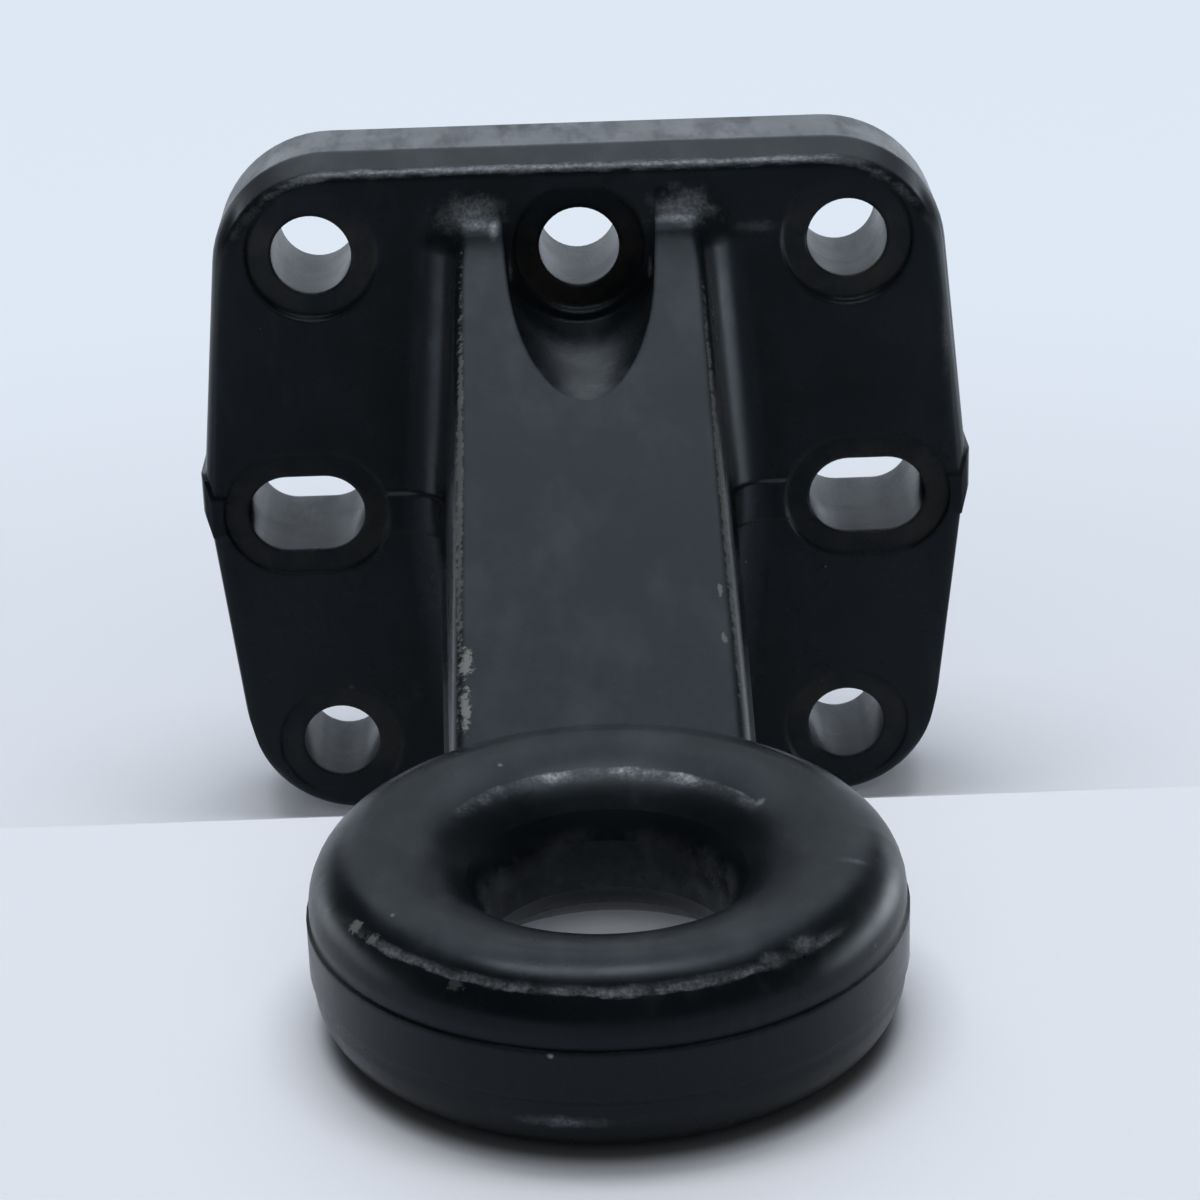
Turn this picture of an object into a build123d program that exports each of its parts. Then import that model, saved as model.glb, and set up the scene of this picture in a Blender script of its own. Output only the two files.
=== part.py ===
from build123d import *
from math import radians, tan
import os

# Bolt-on drawbar eye for a 50 mm coupling pin: one drop forging with a mounting flange, a
# wedge-shaped shank and a ring, and a wear bush pressed into the ring.
# Millimetres. The origin is the middle of the bore, on the parting plane of the dies, which is
# the plane Z = 0. +Z is the bore's axis. The flange is towards +Y.

# The eye. The ring's section has a short land in the bore, a wide round mouth on which the eye can
# tilt on its pin, a round crown and a flat band round the outside.
pin_bore_d = 50
bore_land_height = 11
crown_d = 96
ring_d = 120.4
ring_height = 40
ring_band_height = 17
bush_od = 57

# The flange
eye_to_face = 272
flange_width = 208
flange_height = 188
flange_mid_thickness = 42
flange_corner_r = 32
edge_bevel_start = 21.5
edge_bevel_angle = 12
flange_edge_r = 3
flange_side_draft = 6
die_draft = 5

# The shank between the flange and the ring
shank_top_width = 63.8
shank_slope = 18
shank_height_at_eye = 1
shank_edge_r = 4
shank_root_r = 11

# The trough in the shank that lets a bolt head in above the middle of the flange
trough_r = 20.5
trough_taper = 3
trough_length = 95

# The trimmed flash, a low band that runs round the whole forging on the parting plane
flash_height = 11
flash_proud = 0.6

# Holes for M20 bolts
bolt_hole_d = 21
bolt_pitch = 140
slot_centre = 75
slot_travel = 10
seat_d = 34
seat_to_face = 34.5
slot_seat_to_face = 40
seat_cut_depth = 8

# Worked out from the sizes above
pin_bore_r = pin_bore_d / 2
crown_r = crown_d / 2
ring_r = ring_d / 2
bush_r = bush_od / 2
draft_slope = tan(radians(die_draft))
side_slope = tan(radians(flange_side_draft))
bevel_slope = tan(radians(edge_bevel_angle))
rise = tan(radians(shank_slope))
mid_front_y = eye_to_face - flange_mid_thickness
bevel_y = eye_to_face - edge_bevel_start
seat_y = eye_to_face - seat_to_face
slot_seat_y = eye_to_face - slot_seat_to_face
pitch_half = bolt_pitch / 2
shank_start_y = ring_r / 8


def front_y(height):
    """Y of the flange's front face at a height above or below the parting plane."""
    return mid_front_y + abs(height) * draft_slope


def shank_top(y):
    """Height of the shank's sloping top at a distance from the bore."""
    return shank_height_at_eye + y * rise


def shank_half_width(y):
    """Half the shank's width on the parting plane: the top is parallel, the sides are drafted."""
    return shank_top_width / 2 + shank_top(y) * draft_slope


def facing(y):
    """Plane across the eye's length at y, seen from the ring: local X is X, local Y is Z."""
    return Plane.XZ.offset(-y)


# The ring round the pin's bore. Its crown runs down to the land in one wide rounding, and outwards to
# the band, where it ends at a crisp corner.
with BuildPart() as eye_ring:
    with BuildSketch(Plane.XZ):
        with BuildLine():
            crown = (crown_r, ring_height / 2)
            land_edge = (pin_bore_r, bore_land_height / 2)
            Line((pin_bore_r, 0), land_edge)
            TangentArc(crown, land_edge, tangent=(-1, 0))
            TangentArc(crown, (ring_r, ring_band_height / 2), tangent=(1, 0))
            Line((ring_r, ring_band_height / 2), (ring_r, 0))
            mirror(about=Plane.XZ)
        make_face()
    revolve(axis=Axis.Z)

# The shank: the plan on the parting plane drawn up with draft, cut to the sloping side view
with BuildPart() as shank:
    plan_start, plan_end = shank_start_y, bevel_y
    with BuildSketch(Plane.XY):
        with BuildLine():
            Polyline((shank_half_width(plan_start), plan_start), (shank_half_width(plan_end), plan_end),
                     (-shank_half_width(plan_end), plan_end), (-shank_half_width(plan_start), plan_start),
                     close=True)
        make_face()
    extrude(amount=flange_height / 2, taper=die_draft)
    with BuildSketch(Plane.YZ):
        with BuildLine():
            Polyline((0, 0), (0, shank_top(0)), (eye_to_face, shank_top(eye_to_face)), (eye_to_face, 0),
                     close=True)
        make_face()
    extrude(amount=flange_width / 2, both=True, mode=Mode.INTERSECT)
    sloping_top = shank.faces().filter_by(lambda f: f.normal_at().Z > 0.9).sort_by(Axis.Z)[-1]
    long_edges = sloping_top.edges().filter_by(lambda e: e.length > eye_to_face / 2)
    fillet(long_edges, shank_edge_r)
    mirror(about=Plane.XY)

# Outline of the flange, widest on the parting plane and narrower above and below it
with BuildSketch() as flange_outline:
    half_w, half_h = flange_width / 2, flange_height / 2
    top_half_w = half_w - half_h * side_slope
    with BuildLine():
        Polyline((top_half_w, half_h), (-top_half_w, half_h), (-half_w, 0),
                 (-top_half_w, -half_h), (top_half_w, -half_h), (half_w, 0), close=True)
    make_face()
    corners = [v for v in flange_outline.vertices() if abs(v.Y) > half_h / 2]
    fillet(corners, flange_corner_r)

# A round-bottomed trough that narrows away from the flange, above and below the shank
with BuildPart() as trough:
    with BuildSketch(facing(front_y(flange_height))):
        with Locations((0, pitch_half)):
            Circle(trough_r)
        with Locations((0, pitch_half + flange_height / 4)):
            Rectangle(2 * trough_r, flange_height / 2)
    extrude(amount=trough_length, taper=trough_taper)
    with BuildSketch(Plane.YZ):
        with BuildLine():
            Polyline((mid_front_y, 0), (front_y(flange_height), flange_height),
                     (eye_to_face, flange_height), (eye_to_face, 0), close=True)
        make_face()
    extrude(amount=flange_width, both=True, mode=Mode.SUBTRACT)
    mirror(about=Plane.XY)

# Plan of the whole forging on the parting plane, grown by what the trimmed flash stands proud
with BuildSketch() as flash_plan:
    half_w = flange_width / 2
    front_half_w = half_w - (bevel_y - mid_front_y) * bevel_slope
    Circle(ring_r)
    with BuildLine():
        Polyline((shank_half_width(0), 0), (shank_half_width(mid_front_y), mid_front_y),
                 (front_half_w, mid_front_y), (half_w, bevel_y), (half_w, eye_to_face),
                 (-half_w, eye_to_face), (-half_w, bevel_y), (-front_half_w, mid_front_y),
                 (-shank_half_width(mid_front_y), mid_front_y), (-shank_half_width(0), 0), close=True)
    make_face()
    roots = flash_plan.vertices().filter_by(
        lambda v: abs(v.Y - mid_front_y) < 1 and abs(v.X) < front_half_w - 1)
    fillet(roots, shank_root_r)
    offset(amount=flash_proud)
    with Locations((0, eye_to_face + flange_height / 2)):
        Rectangle(2 * flange_width, flange_height, mode=Mode.SUBTRACT)

# The forging
with BuildPart() as eye_forging:
    # Flange plate, with a slightly bevelled front half and a front face drafted both ways
    with BuildSketch(facing(eye_to_face)):
        add(flange_outline.sketch)
    extrude(amount=edge_bevel_start)
    with BuildSketch(facing(bevel_y)):
        add(flange_outline.sketch)
    extrude(amount=flange_mid_thickness - edge_bevel_start, taper=edge_bevel_angle)
    with BuildSketch(Plane.YZ):
        with BuildLine():
            Polyline((mid_front_y, 0), (front_y(flange_height), flange_height),
                     (0, flange_height), (0, -flange_height), (front_y(flange_height), -flange_height),
                     close=True)
        make_face()
    extrude(amount=flange_width, both=True, mode=Mode.SUBTRACT)
    front_faces = eye_forging.faces().filter_by(lambda f: f.normal_at().Y < -0.98)
    rim = [e for f in front_faces for e in f.edges() if abs(e.center().Z) > 1]
    fillet(rim, flange_edge_r)

    # Shank, with a generous root where it leaves the flange
    add(shank.part)
    root = eye_forging.edges(Select.LAST).filter_by(
        lambda e: mid_front_y - 5 < e.center().Y < mid_front_y + 20 and abs(e.center().X) < flange_width / 4)
    fillet(root, shank_root_r)

    # Ring
    add(eye_ring.part)

    # Troughs above and below the shank
    add(trough.part, mode=Mode.SUBTRACT)

    # Trimmed flash along the parting plane
    with BuildSketch(Plane.XY):
        add(flash_plan.sketch)
    extrude(amount=flash_height / 2, both=True)

    # Bore for the bush
    with BuildSketch(Plane.XY):
        Circle(bush_r)
    extrude(amount=ring_height, both=True, mode=Mode.SUBTRACT)

    # Round holes and slots, each with a spot-faced seat for its bolt head
    with BuildSketch(facing(seat_y)):
        with GridLocations(pitch_half, bolt_pitch, 3, 2):
            Circle(seat_d / 2)
    extrude(amount=seat_cut_depth, mode=Mode.SUBTRACT)
    with BuildSketch(facing(slot_seat_y)):
        with GridLocations(2 * slot_centre, 0, 2, 1):
            SlotCenterToCenter(slot_travel, seat_d)
    extrude(amount=seat_cut_depth, mode=Mode.SUBTRACT)
    with BuildSketch(facing(eye_to_face)):
        with GridLocations(pitch_half, bolt_pitch, 3, 2):
            Circle(bolt_hole_d / 2)
        with GridLocations(2 * slot_centre, 0, 2, 1):
            SlotCenterToCenter(slot_travel, bolt_hole_d)
    extrude(amount=flange_mid_thickness + seat_cut_depth, mode=Mode.SUBTRACT)

# The bush fills the bore's middle, and its mouths run on in the ring's rounding
with BuildPart() as wear_bush:
    add(eye_ring.part)
    with BuildSketch(Plane.XY):
        Circle(bush_r)
    extrude(amount=ring_height, both=True, mode=Mode.INTERSECT)

eye_forging.part.label = "eye_forging"
wear_bush.part.label = "wear_bush"

os.makedirs("parts", exist_ok=True)
export_step(eye_forging.part, "parts/eye_forging.step")
export_step(wear_bush.part, "parts/wear_bush.step")
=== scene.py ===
import bpy
import math
from mathutils import Matrix, Vector


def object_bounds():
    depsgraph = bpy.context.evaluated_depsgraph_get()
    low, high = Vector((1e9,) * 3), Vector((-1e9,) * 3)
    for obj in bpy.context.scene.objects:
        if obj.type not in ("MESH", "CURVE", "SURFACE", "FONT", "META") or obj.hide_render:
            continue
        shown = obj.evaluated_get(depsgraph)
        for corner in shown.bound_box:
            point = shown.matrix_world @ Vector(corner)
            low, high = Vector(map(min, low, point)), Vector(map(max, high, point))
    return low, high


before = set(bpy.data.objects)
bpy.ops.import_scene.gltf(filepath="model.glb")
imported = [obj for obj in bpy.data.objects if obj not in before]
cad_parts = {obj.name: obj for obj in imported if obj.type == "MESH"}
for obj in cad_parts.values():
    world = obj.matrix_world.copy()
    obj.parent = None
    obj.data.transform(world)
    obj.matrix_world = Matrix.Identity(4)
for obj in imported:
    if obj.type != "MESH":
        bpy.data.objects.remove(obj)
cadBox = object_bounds()
bpy.ops.object.select_all(action="DESELECT")
scene = bpy.context.scene
scene.view_settings.view_transform = "Standard"
mm = 0.001
print("frame loaded:", sorted(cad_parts))


# Camera, at the photograph's viewing angle: its place in metres and its turns in degrees

photoCamera = {
    "place": (-0.00557, -0.58409, 0.31975),
    "turn": -0.572,
    "tilt": -23.089,
    "roll": -1.759,
    "lens": 98.17,
}


def makeCamera(look):
    data = bpy.data.cameras.new("photoCamera")
    data.lens = look["lens"]
    data.clip_start = 0.02
    camera = bpy.data.objects.new("photoCamera", data)
    scene.collection.objects.link(camera)
    turn = Matrix.Rotation(math.radians(look["turn"]), 4, "Z")
    tilt = Matrix.Rotation(math.radians(90 + look["tilt"]), 4, "X")
    roll = Matrix.Rotation(math.radians(look["roll"]), 4, "Z")
    camera.matrix_world = Matrix.Translation(look["place"]) @ turn @ tilt @ roll
    scene.camera = camera


makeCamera(photoCamera)


# Node helpers

def feed(tree, value, socket):
    if isinstance(value, bpy.types.NodeSocket):
        tree.links.new(value, socket)
    else:
        socket.default_value = value


def addNode(tree, kind, sockets=None, **settings):
    node = tree.nodes.new(kind)
    for name, value in settings.items():
        setattr(node, name, value)
    for name, value in (sockets or {}).items():
        feed(tree, value, node.inputs[name])
    return node


def newMaterial(name):
    material = bpy.data.materials.new(name)
    material.use_nodes = True
    tree = material.node_tree
    tree.nodes.clear()
    output = addNode(tree, "ShaderNodeOutputMaterial")
    return material, tree, output


def objectPlace(tree):
    return addNode(tree, "ShaderNodeTexCoord").outputs["Object"]


def calc(tree, operation, *values):
    return addNode(tree, "ShaderNodeMath", dict(enumerate(values)), operation=operation).outputs[0]


def vectorCalc(tree, operation, *values):
    node = addNode(tree, "ShaderNodeVectorMath", dict(enumerate(values)), operation=operation)
    return node.outputs["Value" if operation == "LENGTH" else "Vector"]


def ramp(tree, value, low, high, toLow=0.0, toHigh=1.0):
    node = addNode(tree, "ShaderNodeMapRange", {
        "Value": value, "From Min": low, "From Max": high, "To Min": toLow, "To Max": toHigh},
        interpolation_type="SMOOTHSTEP")
    return node.outputs["Result"]


def noise(tree, place, scale, detail=3.0, roughness=0.55):
    node = addNode(tree, "ShaderNodeTexNoise", {
        "Vector": place, "Scale": scale, "Detail": detail, "Roughness": roughness})
    return node.outputs["Fac"]


def mixColor(tree, mask, below, above):
    node = tree.nodes.new("ShaderNodeMix")
    node.data_type = "RGBA"
    feed(tree, mask, node.inputs[0])
    feed(tree, below, node.inputs[6])
    feed(tree, above, node.inputs[7])
    return node.outputs[2]


def strongest(tree, masks):
    result = masks[0]
    for mask in masks[1:]:
        result = calc(tree, "MAXIMUM", result, mask)
    return result


# The stage: a low floor under the flange, and a pale block that carries the ring

stageLook = {
    "floorGap": 0.05 * mm,
    "floorSize": 7.0,
    "ringHeight": 40 * mm,
    "blockWidth": 0.72,
    "blockFront": -0.75,
    "blockRear": 0.092,
    "edgeRound": 1.2 * mm,
    "edgeSegments": 3,
    "pale": (0.88, 0.88, 0.915, 1.0),
    "roughness": 0.55,
    "specular": 0.25,
    # the paper's own glow: its share near the bore and far off, and where it rises, in metres
    "glow": (0.745, 0.823, 0.922, 1.0),
    "glowNear": 0.03,
    "glowFar": 0.95,
    "glowStart": 0.20,
    "glowEnd": 0.75,
    # the block under the ring: painted light under the bore, and a painted contact shadow, a dark line
    # round the ring
    "paintedBoreLightShare": 0.085,
    "paintedBoreLightEdge": (56 * mm, 50 * mm),
    "paintedShadowShare": 0.12,
    "paintedShadowEdge": (58.5 * mm, 64.5 * mm),
}


def palePaper(look):
    material, tree, output = newMaterial("palePaper")
    away = vectorCalc(tree, "LENGTH", objectPlace(tree))
    # painted light under the bore: there the paper glows a little and keeps its pale colour
    paintedBoreLight = ramp(tree, away, *look["paintedBoreLightEdge"])
    # painted contact shadow: the paper's colour darkens in a ring round the ring's foot
    paintedShadowFactor = ramp(tree, away, *look["paintedShadowEdge"], look["paintedShadowShare"], 1.0)
    tone = mixColor(tree, calc(tree, "MAXIMUM", paintedShadowFactor, paintedBoreLight), (0.0, 0.0, 0.0, 1.0), look["pale"])
    surface = addNode(tree, "ShaderNodeBsdfPrincipled", {
        "Base Color": tone, "Roughness": look["roughness"],
        "Specular IOR Level": look["specular"]})
    glow = addNode(tree, "ShaderNodeEmission", {"Color": look["glow"], "Strength": 1.0})
    share = ramp(tree, away, look["glowStart"], look["glowEnd"], look["glowNear"], look["glowFar"])
    # the painted contact shadow dims the glow too, and the painted light under the bore raises it
    share = calc(tree, "MAXIMUM", calc(tree, "MULTIPLY", share, paintedShadowFactor),
                 calc(tree, "MULTIPLY", paintedBoreLight, look["paintedBoreLightShare"]))
    path = addNode(tree, "ShaderNodeLightPath")
    seen = strongest(tree, [path.outputs["Is Camera Ray"], path.outputs["Is Glossy Ray"]])
    mixed = addNode(tree, "ShaderNodeMixShader", {
        0: calc(tree, "MULTIPLY", seen, share), 1: surface.outputs[0], 2: glow.outputs[0]})
    tree.links.new(mixed.outputs[0], output.inputs["Surface"])
    return material


def makeStage(look):
    paper = palePaper(look)
    floorTop = cadBox[0].z - look["floorGap"]
    bpy.ops.mesh.primitive_plane_add(size=look["floorSize"], location=(0, 0, floorTop))
    floor = bpy.context.object
    floor.name = "floor"
    bpy.ops.object.transform_apply(location=True, rotation=False, scale=False)
    blockTop = -look["ringHeight"] / 2 - look["floorGap"]
    depth = look["blockRear"] - look["blockFront"]
    middle = (look["blockRear"] + look["blockFront"]) / 2
    height = blockTop - floorTop
    bpy.ops.mesh.primitive_cube_add(size=1, location=(0, middle, floorTop + height / 2),
                                    scale=(look["blockWidth"], depth, height))
    block = bpy.context.object
    block.name = "ringBlock"
    bpy.ops.object.transform_apply(location=True, rotation=False, scale=True)
    edge = block.modifiers.new("edge", "BEVEL")
    edge.width = look["edgeRound"]
    edge.segments = look["edgeSegments"]
    for thing in (floor, block):
        thing.data.materials.append(paper)
        thing.select_set(False)


makeStage(stageLook)
print("stage made")


# Light: a key lamp overhead, a soft fill in front, a pale ceiling and a low panel at each side that
# show in the paint, and a studio that is dark behind the camera

lightLook = {
    "key": {"place": (0.0, 0.12, 1.20), "aim": (0.0, 0.10, 0.0), "size": (0.90, 0.30),
            "power": 7.3, "color": (0.91, 0.955, 1.0)},
    "frontFill": {"place": (0.0, -0.85, 0.85), "aim": (0.0, 0.0, 0.0), "size": (1.2, 0.6),
                  "power": 2.6, "color": (0.95, 0.975, 1.0), "seenInGloss": False},
    "ceiling": {"place": (0.0, 0.78, 1.30), "aim": (0.0, 0.14, 0.0), "size": (1.7, 1.3),
                "power": 7.9, "color": (0.82, 0.91, 1.0)},
    "rightPanel": {"place": (0.46, 0.18, -0.015), "aim": (0.0, 0.18, -0.015), "size": (0.50, 0.14),
                   "power": 1.15, "color": (0.90, 0.95, 1.0), "onlyInGloss": True},
    "leftPanel": {"place": (-0.46, 0.18, -0.015), "aim": (0.0, 0.18, -0.015), "size": (0.50, 0.14),
                  "power": 0.36, "color": (0.90, 0.95, 1.0), "onlyInGloss": True},
}

studioLook = {
    "backColor": (0.79, 0.87, 0.97, 1.0),
    # each share, and the two values of the direction's Y, Z or X between which it sets in
    "frontShare": 0.08,
    "frontEdge": (-0.18, 0.36),
    "highShare": 0.70,
    "highEdge": (0.25, 0.60),
    "rightShare": 1.7,
    "rightEdge": (0.15, 0.75),
    # both sides lose light above the horizon
    "sideLoss": 0.90,
    "sideEdge": (0.30, 0.52),
    "sideHeight": (0.06, 0.22),
    "ambient": (0.14, 0.150, 0.165, 1.0),
}


def makeLamp(name, look):
    data = bpy.data.lights.new(name, "AREA")
    data.shape = "RECTANGLE"
    data.size, data.size_y = look["size"]
    data.energy = look["power"]
    data.color = look["color"]
    lamp = bpy.data.objects.new(name, data)
    scene.collection.objects.link(lamp)
    lamp.location = look["place"]
    lamp.visible_camera = False
    lamp.visible_diffuse = not look.get("onlyInGloss", False)
    lamp.visible_glossy = look.get("seenInGloss", True)
    forwards = Vector(look["aim"]) - Vector(look["place"])
    lamp.rotation_euler = forwards.to_track_quat("-Z", "Y").to_euler()


def makeWorld(look):
    world = bpy.data.worlds.new("studio")
    world.use_nodes = True
    scene.world = world
    tree = world.node_tree
    tree.nodes.clear()
    output = addNode(tree, "ShaderNodeOutputWorld")
    direction = addNode(tree, "ShaderNodeTexCoord").outputs["Generated"]
    split = addNode(tree, "ShaderNodeSeparateXYZ", {0: direction})
    behind = ramp(tree, split.outputs["Y"], *look["frontEdge"], look["frontShare"], 1.0)
    low = ramp(tree, split.outputs["Z"], *look["highEdge"], 1.0, look["highShare"])
    right = ramp(tree, split.outputs["X"], *look["rightEdge"], 1.0, look["rightShare"])
    aside = calc(tree, "MULTIPLY",
                 ramp(tree, calc(tree, "ABSOLUTE", split.outputs["X"]), *look["sideEdge"]),
                 ramp(tree, split.outputs["Z"], *look["sideHeight"], 0.0, look["sideLoss"]))
    right = calc(tree, "MULTIPLY", right, calc(tree, "SUBTRACT", 1.0, aside))
    strength = calc(tree, "MULTIPLY", calc(tree, "MULTIPLY", behind, low), right)
    path = addNode(tree, "ShaderNodeLightPath").outputs
    seen = strongest(tree, [path["Is Camera Ray"], path["Is Glossy Ray"], path["Is Transmission Ray"]])

    # the shares show only in reflections: what the camera sees is the plain colour
    inGloss = calc(tree, "SUBTRACT", 1.0, path["Is Camera Ray"])
    strength = calc(tree, "MULTIPLY_ADD", strength, inGloss, path["Is Camera Ray"])
    bright = addNode(tree, "ShaderNodeBackground", {
        "Color": look["backColor"], "Strength": strength})
    soft = addNode(tree, "ShaderNodeBackground", {"Color": look["ambient"], "Strength": 1.0})
    mixed = addNode(tree, "ShaderNodeMixShader", {0: seen, 1: soft.outputs[0], 2: bright.outputs[0]})
    tree.links.new(mixed.outputs[0], output.inputs["Surface"])


for name, look in lightLook.items():
    makeLamp(name, look)
makeWorld(studioLook)
print("lights made")


# Effects that the finishes are made of, each a node group in the part's own coordinates

def newGroup(name, inputs, output):
    tree = bpy.data.node_groups.new(name, "ShaderNodeTree")
    for label, value in inputs.items():
        shape = "NodeSocketVector" if isinstance(value, tuple) else "NodeSocketFloat"
        socket = tree.interface.new_socket(label, in_out="INPUT", socket_type=shape)
        socket.default_value = value
    tree.interface.new_socket(output, in_out="OUTPUT", socket_type="NodeSocketFloat")
    given = addNode(tree, "NodeGroupInput").outputs
    result = addNode(tree, "NodeGroupOutput").inputs[output]
    return tree, given, result


def use(tree, group, **values):
    node = tree.nodes.new("ShaderNodeGroup")
    node.node_tree = group
    for name, value in values.items():
        feed(tree, value, node.inputs[name])
    return node.outputs[0]


def shaken(tree, value, grain, ragged):
    swing = calc(tree, "SUBTRACT", grain, 0.5)
    return calc(tree, "MULTIPLY_ADD", swing, ragged, value)


def buildSpot():
    tree, given, result = newGroup("raggedSpot", {
        "place": (0.0, 0.0, 0.0), "size": (0.01, 0.01, 0.01), "grain": 0.5, "ragged": 1.2,
        "core": 0.6}, "mask")
    here = objectPlace(tree)
    away = vectorCalc(tree, "SUBTRACT", here, given["place"])
    far = vectorCalc(tree, "LENGTH", vectorCalc(tree, "DIVIDE", away, given["size"]))
    rough = shaken(tree, far, given["grain"], given["ragged"])
    tree.links.new(ramp(tree, rough, 1.0, given["core"]), result)
    return tree


def buildRingArc():
    tree, given, result = newGroup("ringArc", {
        "radius": 50 * mm, "fade": 3 * mm, "turn": 0.0, "spread": 1.0, "endFade": 0.35,
        "ragged": 0.6, "drawnOut": 14 * mm, "grainScale": 480.0, "crispFrom": -0.12, "crispTo": 0.10,
        "topFrom": 0.0, "topTo": 4 * mm}, "mask")
    split = addNode(tree, "ShaderNodeSeparateXYZ", {0: objectPlace(tree)}).outputs
    flat = addNode(tree, "ShaderNodeCombineXYZ", {0: split["X"], 1: split["Y"]}).outputs[0]
    radius = vectorCalc(tree, "LENGTH", flat)
    angle = calc(tree, "ARCTAN2", split["Y"], split["X"])

    # the rubbing runs round the ring, so its grain is drawn out that way
    along = addNode(tree, "ShaderNodeCombineXYZ", {
        0: calc(tree, "MULTIPLY", angle, given["drawnOut"]), 1: radius, 2: split["Z"]}).outputs[0]
    grain = noise(tree, along, given["grainScale"], 6.0, 0.7)

    # crisp on the outside of the arc, fading inwards
    inwards = calc(tree, "DIVIDE", calc(tree, "SUBTRACT", given["radius"], radius), given["fade"])
    rough = shaken(tree, inwards, grain, given["ragged"])
    band = calc(tree, "MULTIPLY", ramp(tree, rough, given["crispFrom"], given["crispTo"]),
                ramp(tree, rough, 1.0, given["crispTo"]))
    turned = calc(tree, "COSINE", calc(tree, "SUBTRACT", angle, given["turn"]))
    arcEnd = calc(tree, "ADD", given["spread"], given["endFade"])
    arc = ramp(tree, calc(tree, "ARCCOSINE", turned), arcEnd, given["spread"])
    top = ramp(tree, split["Z"], given["topFrom"], given["topTo"])
    tree.links.new(calc(tree, "MULTIPLY", calc(tree, "MULTIPLY", band, arc), top), result)
    return tree


def buildFlangeRim():
    tree, given, result = newGroup("flangeRim", {
        "halfWidth": 104 * mm, "halfHeight": 94 * mm, "sideSlope": 0.105, "corner": 32 * mm,
        "front": 230 * mm, "frontSlope": 0.0875, "inset": 3.2 * mm, "setBack": 1.2 * mm,
        "width": 2.4 * mm, "core": 0.2, "grain": 0.5, "ragged": 1.0}, "mask")
    split = addNode(tree, "ShaderNodeSeparateXYZ", {0: objectPlace(tree)}).outputs
    across = calc(tree, "ABSOLUTE", split["X"])
    height = calc(tree, "ABSOLUTE", split["Z"])
    wide = calc(tree, "ADD", across, calc(tree, "MULTIPLY", height, given["sideSlope"]))
    overX = calc(tree, "SUBTRACT", wide, calc(tree, "SUBTRACT", given["halfWidth"], given["corner"]))
    overZ = calc(tree, "SUBTRACT", height, calc(tree, "SUBTRACT", given["halfHeight"], given["corner"]))
    past = addNode(tree, "ShaderNodeCombineXYZ", {
        0: calc(tree, "MAXIMUM", overX, 0.0), 1: calc(tree, "MAXIMUM", overZ, 0.0)}).outputs[0]
    beyond = calc(tree, "SUBTRACT", vectorCalc(tree, "LENGTH", past), given["corner"])
    frontHere = calc(tree, "MULTIPLY_ADD", height, given["frontSlope"], given["front"])
    depth = calc(tree, "SUBTRACT", calc(tree, "SUBTRACT", split["Y"], frontHere), given["setBack"])
    away = addNode(tree, "ShaderNodeCombineXYZ", {
        0: calc(tree, "ADD", beyond, given["inset"]), 1: depth}).outputs[0]
    far = calc(tree, "DIVIDE", vectorCalc(tree, "LENGTH", away), given["width"])
    rough = shaken(tree, far, given["grain"], given["ragged"])
    tree.links.new(ramp(tree, rough, 1.0, given["core"]), result)
    return tree


def buildForgedSkin():
    tree, given, result = newGroup("forgedSkin", {
        "lumps": 26.0, "lumpDepth": 0.30, "peel": 230.0, "peelDepth": 0.022,
        "grit": 1500.0, "gritDepth": 0.006}, "height")
    here = objectPlace(tree)
    height = None
    for scale, depth in (("lumps", "lumpDepth"), ("peel", "peelDepth"), ("grit", "gritDepth")):
        wave = calc(tree, "MULTIPLY", noise(tree, here, given[scale], 2.0), given[depth])
        height = wave if height is None else calc(tree, "ADD", height, wave)
    tree.links.new(height, result)
    return tree


def buildFlecks():
    tree, given, result = newGroup("flecks", {
        "scale": 120.0, "size": 0.08, "core": 0.6, "share": 0.2}, "mask")
    cells = addNode(tree, "ShaderNodeTexVoronoi", {
        "Vector": objectPlace(tree), "Scale": given["scale"]})
    chance = addNode(tree, "ShaderNodeSeparateColor", {0: cells.outputs["Color"]}).outputs[0]
    present = calc(tree, "LESS_THAN", chance, given["share"])
    inner = calc(tree, "MULTIPLY", given["size"], given["core"])
    dot = ramp(tree, cells.outputs["Distance"], given["size"], inner)
    tree.links.new(calc(tree, "MULTIPLY", dot, present), result)
    return tree


def buildStreaks():
    tree, given, result = newGroup("streaks", {
        "stretch": (1.0, 1.0, 1.0), "scale": 300.0, "least": 0.55, "most": 0.7}, "mask")
    along = vectorCalc(tree, "MULTIPLY", objectPlace(tree), given["stretch"])
    lines = noise(tree, along, given["scale"], 3.0, 0.6)
    tree.links.new(ramp(tree, lines, given["least"], given["most"]), result)
    return tree


raggedSpot = buildSpot()
ringArc = buildRingArc()
flangeRim = buildFlangeRim()
forgedSkin = buildForgedSkin()
flecks = buildFlecks()
streaks = buildStreaks()
print("shared effects made")


# The forging: thin black paint over a forged skin, rubbed through on its ridges

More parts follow.
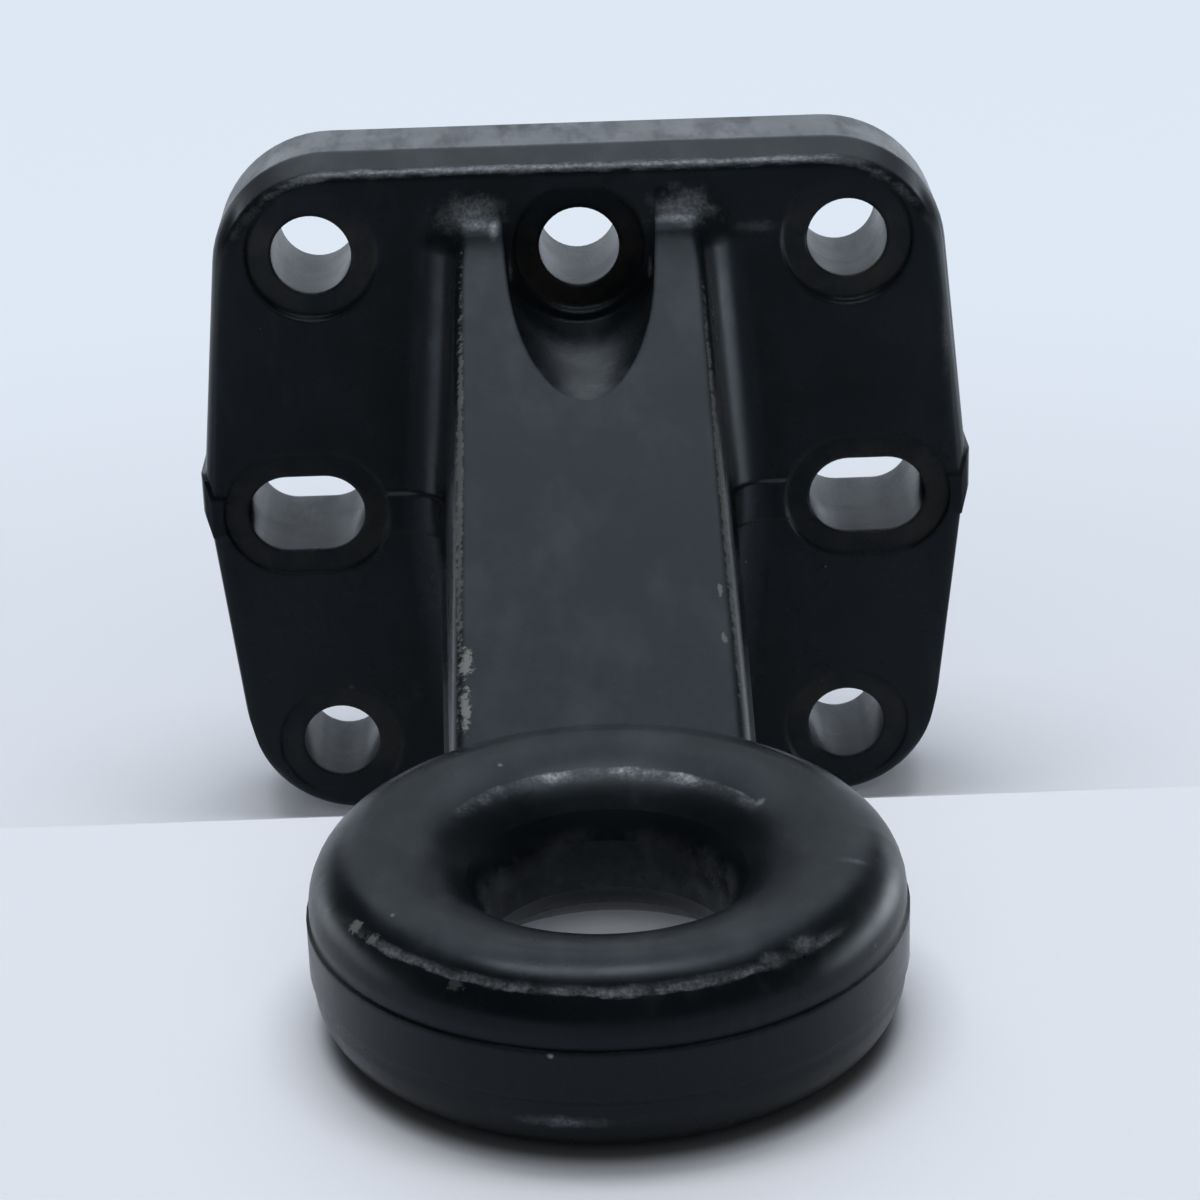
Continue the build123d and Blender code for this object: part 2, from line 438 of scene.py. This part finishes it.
forgingLook = {
    "paint": (0.0028, 0.0038, 0.0046, 1.0),
    "faded": (0.0055, 0.0070, 0.0082, 1.0),
    "bare": (0.30, 0.315, 0.33, 1.0),
    "primer": (0.155, 0.15, 0.138, 1.0),
    "dust": (0.20, 0.215, 0.235, 1.0),
    "rust": (0.075, 0.035, 0.018, 1.0),
    "bloom": (0.055, 0.044, 0.036, 1.0),
    "bloomShare": 0.30,
    "front": 230 * mm,
    "frontSlope": 0.0875,
    "gloss": (0.23, 0.36),
    "bareRoughness": 0.42,
    "specular": 0.18,
    # painted reflection colour: a bluish tint on every reflection of the paint, standing in for the
    # studio light's colour
    "paintedReflectionTint": (0.80, 0.91, 1.0, 1.0),
    # scale, detail and roughness of each grain
    "coarseGrain": (230.0, 6.0, 0.7),
    "fineGrain": (1100.0, 4.0, 0.7),
    "drawnGrain": (420.0, 5.0, 0.7),
    "patchGrain": (110.0, 5.0, 0.7),
    "chipGrain": (620.0, 6.0, 0.8),
    "handledGrain": (22.0, 3.0),
    "fadedGrain": (18.0, 4.0),
    "seatGrain": (60.0, 5.0, 0.7),
    "glossGrain": (40.0, 5.0, 0.65),
    # the two values of a grain between which its effect sets in, and for two its least and most
    "wornEdge": (0.38, 0.66, 0.45, 1.0),
    "patchEdge": (0.40, 0.64, 0.16, 1.0),
    "handledEdge": (0.40, 0.65),
    "seatEdge": (0.35, 0.68),
    "glossEdge": (0.3, 0.7),
    # rubbed places, with a few painted highlights among them, and chips: place and size in mm, and how
    # far the paint is gone
    "rubbedRagged": 1.6,
    "rubbedCore": 0.0,
    "chipRagged": 4.2,
    "chipCore": 0.7,
    "wornAndPaintedHighlights": {
        "leftRib": ((-28, 237, 80), (12, 8, 7), 0.45),
        "rightRib": ((27, 237, 79.5), (11, 8, 7), 0.50),
        "leftRibEdge": ((-22, 232, 77), (2, 8, 3), 0.5),
        "ribScuff": ((46, 237, 74), (8, 4, 2), 0.18),
        "rightFlangeEdge": ((96, 234, 44), (2, 4, 14), 0.25),
        "troughFloor": ((1, 190, 51), (9, 32, 4), 0.07),
        "bandScuff": ((-10, -59, -10), (11, 6, 2), 0.30),
        "outerLeft": ((-57, -8, 13), (4, 14, 5), 0.22),
        "outerLeftRear": ((-46, 34, 15), (5, 9, 5), 0.22),
        "farFleck": ((32, 17, 17), (2, 1.5, 2), 0.6),
        "rightScratch": ((49, -15, 19.3), (6, 1.4, 3), 0.25),
        "rightCrown": ((36, -42.5, 16.8), (5, 3.2, 2.2), 0.40),
        "rightCrownLow": ((30, -47.5, 16.6), (5, 2.4, 2.0), 0.32),
        # painted highlights: thin bare lines on the trough's two edges, standing in for highlights
        # there
        "leftTroughEdgePaintedHighlight": ((-18.2, 235.7, 64.7), (0.8, 1.6, 5), 0.35),
        "rightTroughEdgePaintedHighlight": ((18.3, 235.6, 63.5), (0.8, 1.6, 5), 0.35),
        # painted highlight: a small bare spot on the band, standing in for a glint
        "bandPaintedGlint": ((-12.2, -59.6, 4.7), (0.9, 1, 0.7), 0.9),
    },
    "chips": {
        "crownLeft": ((-49, -28.6, 16.4), (1.9, 1.6, 1.5), 0.8),
        "crownLeftLow": ((-45.6, -33.8, 16.2), (1.7, 1.2, 1.3), 0.7),
        "crownGouge": ((-29.5, -49.8, 14.8), (1.8, 1.2, 1.5), 0.22),
        "mouthSpeck": ((-21.4, 34.9, 19), (0.6, 0.5, 0.8), 0.7),
        "crownSpeck": ((-41.7, -30.1, 19.5), (0.5, 0.5, 0.8), 0.7),
        "shankFootEdge": ((-29, 60, 20.5), (1.2, 9, 3), 1.0),
        "shankLowEdge": ((-29, 74, 25), (1.6, 5, 3), 1.0),
        "shankMidEdge": ((-30.4, 129, 42), (0.7, 3, 2), 0.7),
        "shankHighEdge": ((-30.3, 165, 54), (0.6, 2, 2), 0.6),
        "leftEdge": ((-30.5, 135, 44), (0.8, 85, 40), 0.55),
        "rightEdge": ((30.7, 135, 44), (0.6, 85, 40), 0.35),
        "rightEdgeLow": ((28.3, 79, 26.6), (0.6, 2, 1.5), 0.6),
        "rightEdgeMid": ((28.3, 95, 32), (0.6, 3, 2), 0.6),
    },
    "arcs": {
        "nearCrown": {"radius": 57.3 * mm, "fade": 1.8 * mm, "turn": math.radians(-96), "spread": 0.72,
                      "ragged": 1.1},
        "farMouth": {"radius": 36.0 * mm, "fade": 3.2 * mm, "turn": math.radians(88), "spread": 0.80},
    },
    "arcStrength": 0.68,
    "ridge": {"ragged": 2.0, "width": 1.7 * mm},
    "ridgeStretch": (0.3, 1.0, 1.0),
    "ridgeHeight": (70 * mm, 90 * mm),
    "ridgeStrength": 0.45,
    "bareMetal": 0.8,
    # dust on the flange's top, and what a dragged tool leaves of it
    "topFacing": (0.2, 0.95),
    "topStart": (249 * mm, 252 * mm),
    "topDust": 0.50,
    "draggedDust": 0.05,
    "drag": {"stretch": (1.0, 0.35, 1.0), "scale": 120.0, "least": 0.35, "most": 0.75},
    # a thin haze on level faces, marks of handling and specks
    "hazeFacing": (0.75, 0.97),
    "haze": 0.07,
    "wiped": {"stretch": (1.0, 0.4, 1.0), "scale": 70.0, "least": 0.42, "most": 0.75},
    "handling": 0.035,
    "marks": {"stretch": (1.0, 1.0, 0.3), "scale": 240.0, "least": 0.46, "most": 0.80},
    "specks": {"scale": 95.0, "size": 0.040, "share": 0.07},
    "speckShare": 0.7,
    "rustSpecks": {"scale": 60.0, "size": 0.05, "share": 0.05},
    "rustShare": 0.8,
    # the machined seats, as depth behind the front face
    "seatFacing": (-0.96, -0.99),
    "seatStart": (0.4 * mm, 1.0 * mm),
    "seatEnd": (12 * mm, 10 * mm),
    # edges: how far the paint rounds them, and where it stops at the bush and starts on the sides
    "softEdge": 1.6 * mm,
    "softSamples": 4,
    "bushRim": 30.2 * mm,
    "bushClear": 31.5 * mm,
    "sideStart": (88 * mm, 96 * mm),
    "sideDepth": (251 * mm, 238 * mm),
    "sideRounding": 1.6,
}


def spotMask(tree, spots, grain, ragged, core):
    masks = []
    for place, size, strength in spots.values():
        spot = use(tree, raggedSpot, place=tuple(v * mm for v in place),
                   size=tuple(v * mm for v in size), grain=grain, ragged=ragged, core=core)
        masks.append(calc(tree, "MULTIPLY", spot, strength))
    return strongest(tree, masks)


def forgingPaint(look):
    material, tree, output = newMaterial("forgingPaint")
    here = objectPlace(tree)
    split = addNode(tree, "ShaderNodeSeparateXYZ", {0: here}).outputs
    facing = addNode(tree, "ShaderNodeSeparateXYZ", {
        0: addNode(tree, "ShaderNodeNewGeometry").outputs["Normal"]}).outputs
    coarse = noise(tree, here, *look["coarseGrain"])
    fine = noise(tree, here, *look["fineGrain"])

    # rubbed paint: the ridge along the flange's top front edge, the ring's two arcs, and single places,
    # a few of them painted highlights
    drawn = noise(tree, vectorCalc(tree, "MULTIPLY", here, look["ridgeStretch"]), *look["drawnGrain"])
    ridge = calc(tree, "MULTIPLY", use(tree, flangeRim, grain=drawn, **look["ridge"]),
                 ramp(tree, split["Z"], *look["ridgeHeight"], 0.0, look["ridgeStrength"]))
    arcs = strongest(tree, [use(tree, ringArc, **arc) for arc in look["arcs"].values()])
    patchy = ramp(tree, noise(tree, here, *look["patchGrain"]), *look["patchEdge"])
    arcs = calc(tree, "MULTIPLY", calc(tree, "MULTIPLY", arcs, patchy), look["arcStrength"])
    wornAndHighlightSpots = spotMask(tree, look["wornAndPaintedHighlights"], coarse, look["rubbedRagged"], look["rubbedCore"])
    wornAndPaintedHighlights = strongest(tree, [ridge, arcs, wornAndHighlightSpots])
    wearAndPaintedLight = calc(tree, "MULTIPLY", wornAndPaintedHighlights, ramp(tree, fine, *look["wornEdge"]))
    chips = spotMask(tree, look["chips"], noise(tree, here, *look["chipGrain"]),
                     look["chipRagged"], look["chipCore"])

    # dust on the flange's top, with the lines of a dragged tool in it
    onTop = calc(tree, "MULTIPLY", ramp(tree, facing["Z"], *look["topFacing"]),
                 ramp(tree, split["Y"], *look["topStart"]))
    drag = use(tree, streaks, **look["drag"])
    topDust = calc(tree, "MULTIPLY", onTop,
                   ramp(tree, drag, 0.0, 1.0, look["topDust"], look["draggedDust"]))

    # a thin haze on level faces, marks of handling all over, and specks
    wiped = use(tree, streaks, **look["wiped"])
    haze = calc(tree, "MULTIPLY", ramp(tree, facing["Z"], *look["hazeFacing"]),
                calc(tree, "MULTIPLY", wiped, look["haze"]))
    marks = use(tree, streaks, **look["marks"])
    handled = ramp(tree, noise(tree, here, *look["handledGrain"]), *look["handledEdge"])
    handled = calc(tree, "MULTIPLY", handled, calc(tree, "MULTIPLY", marks, look["handling"]))
    specks = use(tree, flecks, **look["specks"])
    rustSpecks = use(tree, flecks, **look["rustSpecks"])

    # a brown bloom on the machined seats, which lie behind the drafted front face
    frontHere = calc(tree, "MULTIPLY_ADD", calc(tree, "ABSOLUTE", split["Z"]), look["frontSlope"],
                     look["front"])
    behindFront = calc(tree, "SUBTRACT", split["Y"], frontHere)
    seats = calc(tree, "MULTIPLY", ramp(tree, facing["Y"], *look["seatFacing"]),
                 calc(tree, "MULTIPLY", ramp(tree, behindFront, *look["seatStart"]),
                      ramp(tree, behindFront, *look["seatEnd"])))
    patchy = ramp(tree, noise(tree, here, *look["seatGrain"]), *look["seatEdge"])
    seats = calc(tree, "MULTIPLY", seats, patchy)

    # the colour: paint, then what lies on it, then what shows through it
    tone = mixColor(tree, noise(tree, here, *look["fadedGrain"]), look["paint"], look["faded"])
    tone = mixColor(tree, calc(tree, "MULTIPLY", seats, look["bloomShare"]), tone, look["bloom"])
    tone = mixColor(tree, strongest(tree, [topDust, haze, handled]), tone, look["dust"])
    tone = mixColor(tree, calc(tree, "MULTIPLY", rustSpecks, look["rustShare"]), tone, look["rust"])
    tone = mixColor(tree, calc(tree, "MULTIPLY", specks, look["speckShare"]), tone, look["primer"])
    # bare metal where the paint is rubbed through, and at a few painted highlights
    tone = mixColor(tree, wearAndPaintedLight, tone, look["bare"])
    tone = mixColor(tree, chips, tone, look["primer"])
    gloss = ramp(tree, noise(tree, here, *look["glossGrain"]), *look["glossEdge"], *look["gloss"])
    roughness = addNode(tree, "ShaderNodeMapRange", {
        "Value": wearAndPaintedLight, "To Min": gloss, "To Max": look["bareRoughness"]}).outputs[0]

    # thick paint softens every edge but the one at the bush, and the flange's sides roll over into
    # its front
    soft = addNode(tree, "ShaderNodeBevel", {"Radius": look["softEdge"]},
                   samples=look["softSamples"]).outputs[0]
    flat = addNode(tree, "ShaderNodeCombineXYZ", {0: split["X"], 1: split["Y"]}).outputs[0]
    atBush = ramp(tree, vectorCalc(tree, "LENGTH", flat), look["bushClear"], look["bushRim"])
    soft = mixColor(tree, atBush, soft, addNode(tree, "ShaderNodeNewGeometry").outputs["Normal"])
    onSide = calc(tree, "MULTIPLY",
                  ramp(tree, calc(tree, "ABSOLUTE", split["X"]), *look["sideStart"]),
                  ramp(tree, split["Y"], *look["sideDepth"]))
    roll = addNode(tree, "ShaderNodeCombineXYZ", {
        1: calc(tree, "MULTIPLY", onSide, -look["sideRounding"])}).outputs[0]
    rolled = vectorCalc(tree, "NORMALIZE", vectorCalc(tree, "ADD", soft, roll))
    bump = addNode(tree, "ShaderNodeBump", {
        "Strength": 1.0, "Distance": 1 * mm, "Height": use(tree, forgedSkin), "Normal": rolled})
    surface = addNode(tree, "ShaderNodeBsdfPrincipled", {
        "Base Color": tone, "Roughness": roughness,
        "Metallic": calc(tree, "MULTIPLY", wearAndPaintedLight, look["bareMetal"]),
        "Specular IOR Level": look["specular"], "Specular Tint": look["paintedReflectionTint"],
        "Normal": bump.outputs[0]})
    tree.links.new(surface.outputs[0], output.inputs["Surface"])
    return material


# The bush: blackened steel with a turned bore

bushLook = {
    "steel": (0.0035, 0.0046, 0.0055, 1.0),
    "bare": (0.20, 0.21, 0.22, 1.0),
    "gloss": (0.23, 0.36),
    "glossGrain": (40.0, 5.0, 0.65),
    "glossEdge": (0.3, 0.7),
    "specular": 0.18,
    # painted reflection colour: a bluish tint on every reflection of the steel, standing in for the
    # studio light's colour
    "paintedReflectionTint": (0.80, 0.91, 1.0, 1.0),
    # lathe lines round the bore
    "turning": 900.0,
    "turningStretch": (0.02, 0.02, 1.0),
    "turningDepth": 0.010,
    # wear on the land, and more of it towards the sides, where it is also a painted reflection of the
    # lit floor
    "landEdge": (9 * mm, 5 * mm),
    "landWear": 0.09,
    "sideWearAndReflection": 0.24,
    "sideEdge": (14 * mm, 23 * mm),
    "patchGrain": (90.0, 5.0, 0.65),
    "patchEdge": (0.40, 0.65),
}


def bushSteel(look):
    material, tree, output = newMaterial("bushSteel")
    here = objectPlace(tree)
    split = addNode(tree, "ShaderNodeSeparateXYZ", {0: here}).outputs
    rings = vectorCalc(tree, "MULTIPLY", here, look["turningStretch"])
    turned = calc(tree, "MULTIPLY", noise(tree, rings, look["turning"], 2.0), look["turningDepth"])
    height = calc(tree, "ADD", turned, use(tree, forgedSkin))
    bump = addNode(tree, "ShaderNodeBump", {"Strength": 1.0, "Distance": 1 * mm, "Height": height})

    # the pin polishes the land and the start of each mouth
    land = ramp(tree, calc(tree, "ABSOLUTE", split["Z"]), *look["landEdge"])
    patchy = ramp(tree, noise(tree, here, *look["patchGrain"]), *look["patchEdge"])
    # painted reflection: the bare share grows towards the bore's sides, standing in for reflections of
    # the lit floor there
    wearWithSideReflection = ramp(tree, calc(tree, "ABSOLUTE", split["X"]), *look["sideEdge"],
                  look["landWear"], look["sideWearAndReflection"])
    wearAndPaintedLight = calc(tree, "MULTIPLY", calc(tree, "MULTIPLY", land, patchy), wearWithSideReflection)
    tone = mixColor(tree, wearAndPaintedLight, look["steel"], look["bare"])
    gloss = ramp(tree, noise(tree, here, *look["glossGrain"]), *look["glossEdge"], *look["gloss"])
    surface = addNode(tree, "ShaderNodeBsdfPrincipled", {
        "Base Color": tone, "Roughness": gloss, "Metallic": wearAndPaintedLight,
        "Specular IOR Level": look["specular"], "Specular Tint": look["paintedReflectionTint"],
        "Normal": bump.outputs[0]})
    tree.links.new(surface.outputs[0], output.inputs["Surface"])
    return material


finishes = {"eye_forging": forgingPaint(forgingLook), "wear_bush": bushSteel(bushLook)}
for name, finish in finishes.items():
    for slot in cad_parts[name].material_slots:
        slot.material = finish
print("finishes made:", sorted(finishes))
